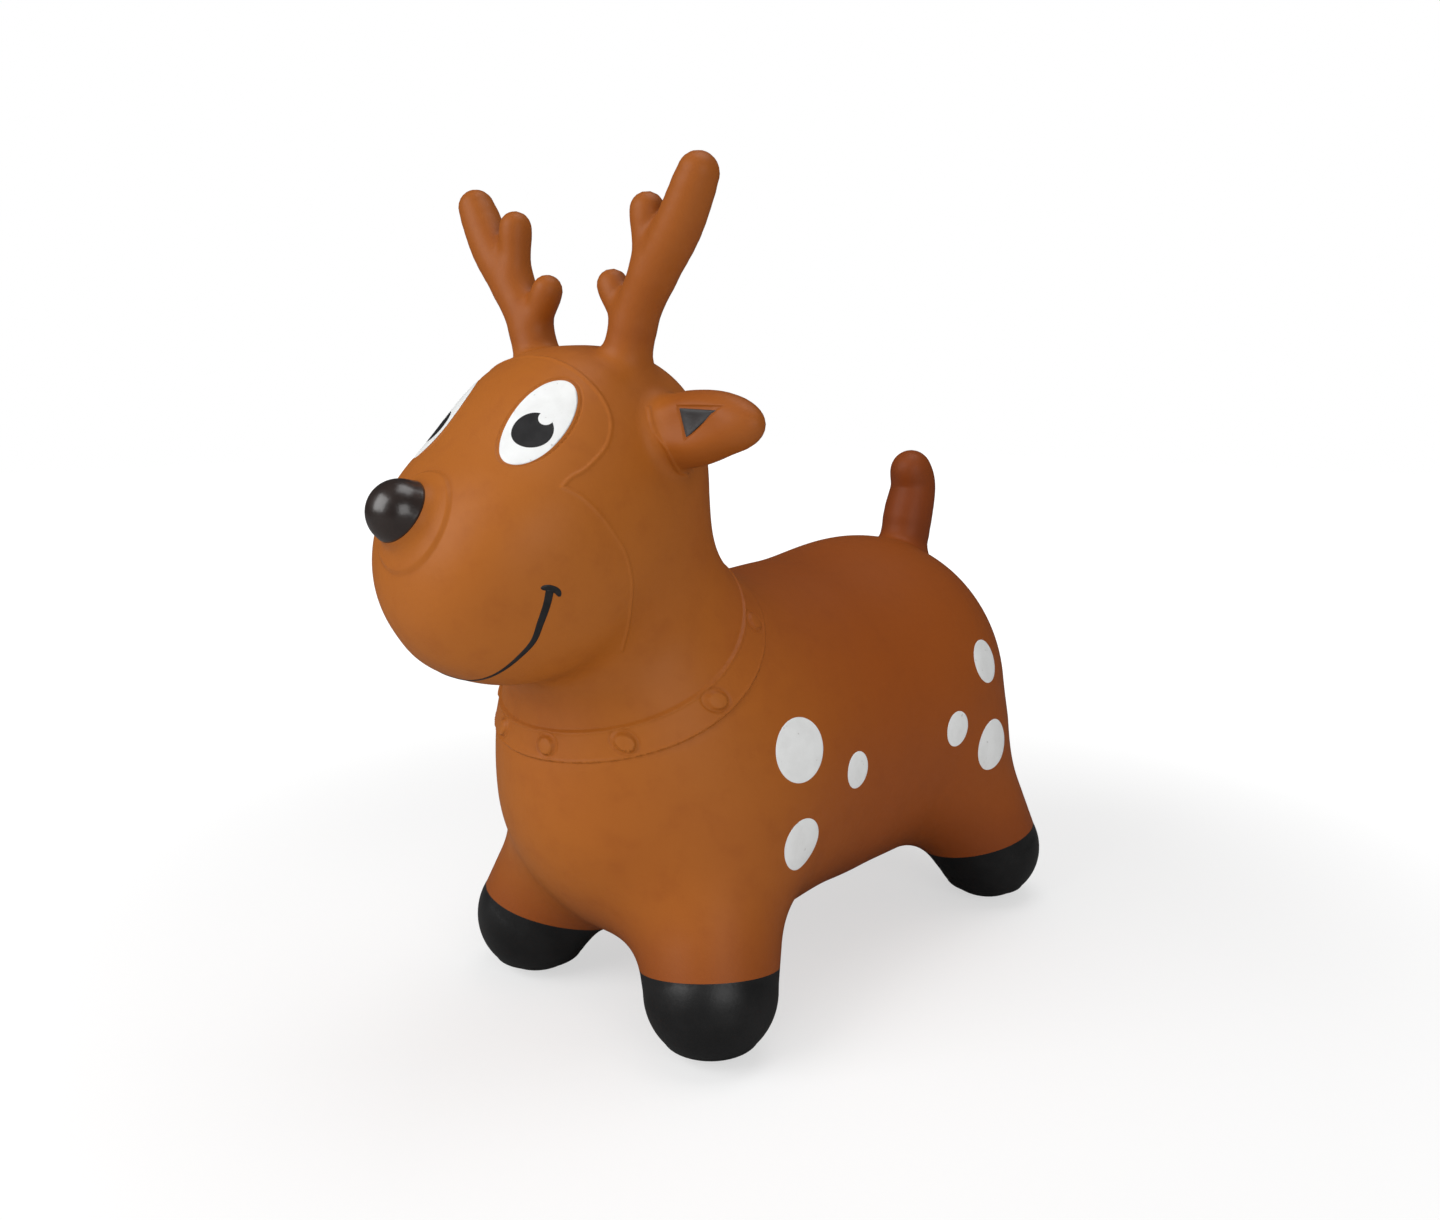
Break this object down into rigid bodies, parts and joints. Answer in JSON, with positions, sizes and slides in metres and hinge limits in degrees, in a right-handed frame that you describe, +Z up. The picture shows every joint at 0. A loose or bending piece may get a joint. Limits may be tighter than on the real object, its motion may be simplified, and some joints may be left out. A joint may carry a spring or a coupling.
{
  "type": "bouncy ride on animal",
  "caption": "Inflatable vinyl deer hopper that a child sits on and bounces, with antler handles, splayed springy legs, ears, tail and belly air valve.",
  "frame": {"origin": "on the floor, under the middle of the toy's bounding box", "axes": "+Z up, +X towards the animal's left side, -Y the way it faces, so +Y runs from nose to rump"},
  "size_m": [0.3, 0.6092, 0.5811],
  "materials": {
    "vinyl_skin": "satin soft vinyl, warm brown",
    "hoof_paint": "satin black vinyl paint",
    "nose_paint": "glossy black vinyl paint",
    "white_paint": "satin white vinyl paint",
    "dark_paint": "satin charcoal vinyl paint",
    "valve_plastic": "translucent off-white soft plastic"
  },
  "bodies": {
    "body": {"torso_shell": "vinyl_skin", "neck_shell": "vinyl_skin", "tail_root": "vinyl_skin", "leg_front_left": "vinyl_skin", "leg_front_right": "vinyl_skin", "leg_rear_left": "vinyl_skin", "leg_rear_right": "vinyl_skin", "valve_seat": "valve_plastic", "spot_left_1": "white_paint", "spot_left_2": "white_paint", "spot_left_3": "white_paint", "spot_left_4": "white_paint", "spot_left_5": "white_paint", "spot_left_6": "white_paint", "spot_right_1": "white_paint", "spot_right_2": "white_paint", "spot_right_3": "white_paint", "spot_right_4": "white_paint", "spot_right_5": "white_paint", "spot_right_6": "white_paint"},
    "head": {"head_shell": "vinyl_skin", "nose": "nose_paint", "mouth": "dark_paint", "eye_white_left": "white_paint", "eye_white_right": "white_paint", "pupil_left": "dark_paint", "pupil_right": "dark_paint", "antler_root_left": "vinyl_skin", "antler_root_right": "vinyl_skin", "ear_root_left": "vinyl_skin", "ear_root_right": "vinyl_skin"},
    "antler_left": {"antler_left": "vinyl_skin"},
    "antler_right": {"antler_right": "vinyl_skin"},
    "ear_left": {"ear_left": "vinyl_skin", "ear_patch_left": "dark_paint"},
    "ear_right": {"ear_right": "vinyl_skin", "ear_patch_right": "dark_paint"},
    "tail": {"tail": "vinyl_skin"},
    "hoof_front_left": {"hoof_front_left": "hoof_paint"},
    "hoof_front_right": {"hoof_front_right": "hoof_paint"},
    "hoof_rear_left": {"hoof_rear_left": "hoof_paint"},
    "hoof_rear_right": {"hoof_rear_right": "hoof_paint"},
    "valve_plug": {"valve_plug": "valve_plastic"}
  },
  "joints": [
    {"name": "head_nod", "type": "hinge", "parent": "body", "child": "head", "pos_m": [0, -0.1264, 0.2591], "axis": [1, 0, 0], "range_deg": [-5, 5], "stiffness_Nm_per_rad": 60, "deforming": ["neck_shell"]},
    {"name": "antler_left_flex", "type": "hinge", "parent": "head", "child": "antler_left", "pos_m": [0.0465, -0.1485, 0.465], "axis": [1, 0, 0], "range_deg": [-12, 12], "stiffness_Nm_per_rad": 9, "deforming": ["antler_root_left"]},
    {"name": "ear_left_flex", "type": "hinge", "parent": "head", "child": "ear_left", "pos_m": [0.0855, -0.14, 0.4205], "axis": [0, 1, 0], "range_deg": [-15, 15], "stiffness_Nm_per_rad": 1.5, "deforming": ["ear_root_left"]},
    {"name": "antler_right_flex", "type": "hinge", "parent": "head", "child": "antler_right", "pos_m": [-0.0465, -0.1485, 0.465], "axis": [1, 0, 0], "range_deg": [-12, 12], "stiffness_Nm_per_rad": 9, "deforming": ["antler_root_right"]},
    {"name": "ear_right_flex", "type": "hinge", "parent": "head", "child": "ear_right", "pos_m": [-0.0855, -0.14, 0.4205], "axis": [0, -1, 0], "range_deg": [-15, 15], "stiffness_Nm_per_rad": 1.5, "deforming": ["ear_root_right"]},
    {"name": "tail_flex", "type": "hinge", "parent": "body", "child": "tail", "pos_m": [0, 0.236, 0.316], "axis": [1, 0, 0], "range_deg": [-15, 15], "stiffness_Nm_per_rad": 2, "deforming": ["tail_root"]},
    {"name": "leg_front_left_squash", "type": "slide", "parent": "body", "child": "hoof_front_left", "axis": [0, 0, 1], "range_m": [0, 0.02], "stiffness_N_per_m": 2500, "springref_m": -0.0025, "deforming": ["leg_front_left"]},
    {"name": "leg_front_right_squash", "type": "slide", "parent": "body", "child": "hoof_front_right", "axis": [0, 0, 1], "range_m": [0, 0.02], "stiffness_N_per_m": 2500, "springref_m": -0.0025, "deforming": ["leg_front_right"]},
    {"name": "leg_rear_left_squash", "type": "slide", "parent": "body", "child": "hoof_rear_left", "axis": [0, 0, 1], "range_m": [0, 0.02], "stiffness_N_per_m": 2500, "springref_m": -0.0025, "deforming": ["leg_rear_left"]},
    {"name": "leg_rear_right_squash", "type": "slide", "parent": "body", "child": "hoof_rear_right", "axis": [0, 0, 1], "range_m": [0, 0.02], "stiffness_N_per_m": 2500, "springref_m": -0.0025, "deforming": ["leg_rear_right"]},
    {"name": "valve_plug_pull", "type": "slide", "parent": "body", "child": "valve_plug", "axis": [0, 0, -1], "range_m": [0, 0.02]}
  ]
}
